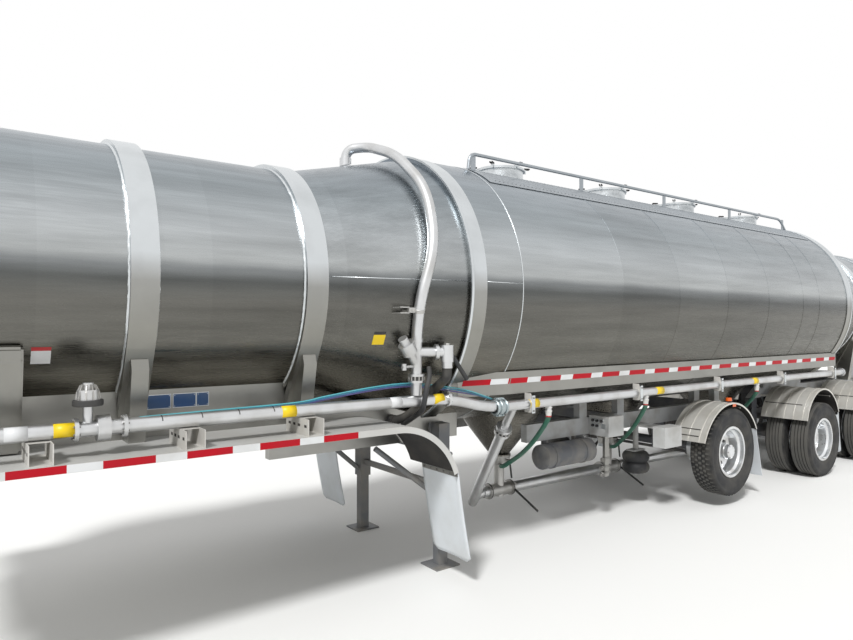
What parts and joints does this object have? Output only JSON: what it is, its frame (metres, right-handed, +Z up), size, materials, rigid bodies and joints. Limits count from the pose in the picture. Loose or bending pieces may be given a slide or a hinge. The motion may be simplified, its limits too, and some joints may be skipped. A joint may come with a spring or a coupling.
{
  "type": "dry bulk tanker semi-trailer",
  "caption": "Polished aluminium dry bulk tanker semi-trailer with small end barrels, cones, discharge hoppers, an air line, a raised steered axle and twin wheels under the rear.",
  "frame": {"origin": "centre of the bounding box in plan, on the floor that the wheels and landing feet stand on", "axes": "+X to the front of the trailer, +Y to its left side, +Z up"},
  "size_m": [15.8, 2.5964, 3.9053],
  "materials": {
    "polished_aluminium": "polished, faintly brushed round the barrel",
    "tank_aluminium": "bright mill aluminium",
    "wheel_aluminium": "machined, dusty",
    "frame_steel": "grey paint, dusty",
    "gear_steel": "grey paint, worn",
    "pipe_steel": "plain",
    "box_paint": "light grey paint",
    "black_rubber": "dusty",
    "green_hose": "dusty green hose",
    "tyre_rubber": "dusty",
    "lamp_red": "red and amber lenses"
  },
  "bodies": {
    "chassis": {"tank": "tank_aluminium", "ring_bands": "polished_aluminium", "hoops": "polished_aluminium", "front_subframe": "tank_aluminium", "landing_gear": "gear_steel", "deck_fenders": "polished_aluminium", "hoppers": "tank_aluminium", "discharge_valves": "pipe_steel", "product_line": "pipe_steel", "air_line": "pipe_steel", "air_riser": "pipe_steel", "pipe_brackets": "tank_aluminium", "side_rails": "tank_aluminium", "steer_axle": "frame_steel", "tridem_axles": "frame_steel", "air_springs": "black_rubber", "rear_subframe": "frame_steel", "wheel_fenders": "polished_aluminium", "mudflaps": "black_rubber", "manhole_collars": "tank_aluminium", "walkway": "tank_aluminium", "boxes": "box_paint", "air_tank": "frame_steel", "rear_bumper": "frame_steel", "lamps": "lamp_red", "hoses": "green_hose", "riser_hose": "black_rubber", "steer_subframe": "frame_steel", "axle_hangers": "frame_steel", "cross_members": "frame_steel"},
    "knuckle_left": {"knuckle_l": "frame_steel", "steer_fender_l": "polished_aluminium"},
    "knuckle_right": {"knuckle_r": "frame_steel", "steer_fender_r": "polished_aluminium"},
    "tie_rod": {"tie_rod": "frame_steel"},
    "steer_wheel_left": {"tyre_1l": "tyre_rubber", "wheel_1l": "wheel_aluminium"},
    "steer_wheel_right": {"tyre_1r": "tyre_rubber", "wheel_1r": "wheel_aluminium"},
    "wheels_2_left": {"tyres_2l": "tyre_rubber", "wheels_2l": "wheel_aluminium"},
    "wheels_2_right": {"tyres_2r": "tyre_rubber", "wheels_2r": "wheel_aluminium"},
    "wheels_3_left": {"tyres_3l": "tyre_rubber", "wheels_3l": "wheel_aluminium"},
    "wheels_3_right": {"tyres_3r": "tyre_rubber", "wheels_3r": "wheel_aluminium"},
    "wheels_4_left": {"tyres_4l": "tyre_rubber", "wheels_4l": "wheel_aluminium"},
    "wheels_4_right": {"tyres_4r": "tyre_rubber", "wheels_4r": "wheel_aluminium"},
    "lid_1": {"manhole_lid_1": "tank_aluminium"},
    "lid_2": {"manhole_lid_2": "tank_aluminium"},
    "lid_3": {"manhole_lid_3": "tank_aluminium"},
    "lid_4": {"manhole_lid_4": "tank_aluminium"}
  },
  "joints": [
    {"name": "steer_left", "type": "hinge", "parent": "chassis", "child": "knuckle_left", "pos_m": [-0.55, 0.715, 0.6405], "axis": [0, 0, 1], "range_deg": [-20, 20]},
    {"name": "steer_right", "type": "hinge", "parent": "chassis", "child": "knuckle_right", "pos_m": [-0.55, -0.715, 0.6405], "axis": [0, 0, 1], "range_deg": [-20, 20]},
    {"name": "tie_rod_pivot", "type": "hinge", "parent": "knuckle_left", "child": "tie_rod", "pos_m": [-0.81, 0.715, 0.5005], "axis": [0, 0, 1], "range_deg": [-20, 20]},
    {"name": "steer_wheel_left_spin", "type": "hinge", "parent": "knuckle_left", "child": "steer_wheel_left", "pos_m": [-0.55, 1.155, 0.6405], "axis": [0, 1, 0], "continuous": true},
    {"name": "steer_wheel_right_spin", "type": "hinge", "parent": "knuckle_right", "child": "steer_wheel_right", "pos_m": [-0.55, -1.155, 0.6405], "axis": [0, 1, 0], "continuous": true},
    {"name": "wheels_2_left_spin", "type": "hinge", "parent": "chassis", "child": "wheels_2_left", "pos_m": [-3.09, 0.984, 0.5225], "axis": [0, 1, 0], "continuous": true},
    {"name": "wheels_2_right_spin", "type": "hinge", "parent": "chassis", "child": "wheels_2_right", "pos_m": [-3.09, -0.984, 0.5225], "axis": [0, 1, 0], "continuous": true},
    {"name": "wheels_3_left_spin", "type": "hinge", "parent": "chassis", "child": "wheels_3_left", "pos_m": [-4.92, 0.984, 0.5225], "axis": [0, 1, 0], "continuous": true},
    {"name": "wheels_3_right_spin", "type": "hinge", "parent": "chassis", "child": "wheels_3_right", "pos_m": [-4.92, -0.984, 0.5225], "axis": [0, 1, 0], "continuous": true},
    {"name": "wheels_4_left_spin", "type": "hinge", "parent": "chassis", "child": "wheels_4_left", "pos_m": [-6.75, 0.984, 0.5225], "axis": [0, 1, 0], "continuous": true},
    {"name": "wheels_4_right_spin", "type": "hinge", "parent": "chassis", "child": "wheels_4_right", "pos_m": [-6.75, -0.984, 0.5225], "axis": [0, 1, 0], "continuous": true},
    {"name": "lid_1_hinge", "type": "hinge", "parent": "chassis", "child": "lid_1", "pos_m": [2.03, -0.307, 3.871], "axis": [1, 0, 0], "range_deg": [0, 110]},
    {"name": "lid_2_hinge", "type": "hinge", "parent": "chassis", "child": "lid_2", "pos_m": [0.2, -0.307, 3.871], "axis": [1, 0, 0], "range_deg": [0, 110]},
    {"name": "lid_3_hinge", "type": "hinge", "parent": "chassis", "child": "lid_3", "pos_m": [-1.4, -0.307, 3.871], "axis": [1, 0, 0], "range_deg": [0, 110]},
    {"name": "lid_4_hinge", "type": "hinge", "parent": "chassis", "child": "lid_4", "pos_m": [-3.2, -0.307, 3.871], "axis": [1, 0, 0], "range_deg": [0, 110]}
  ],
  "couplings": [
    {"joint": "steer_right", "follows": "steer_left", "ratio": 1},
    {"joint": "tie_rod_pivot", "follows": "steer_left", "ratio": -1}
  ]
}
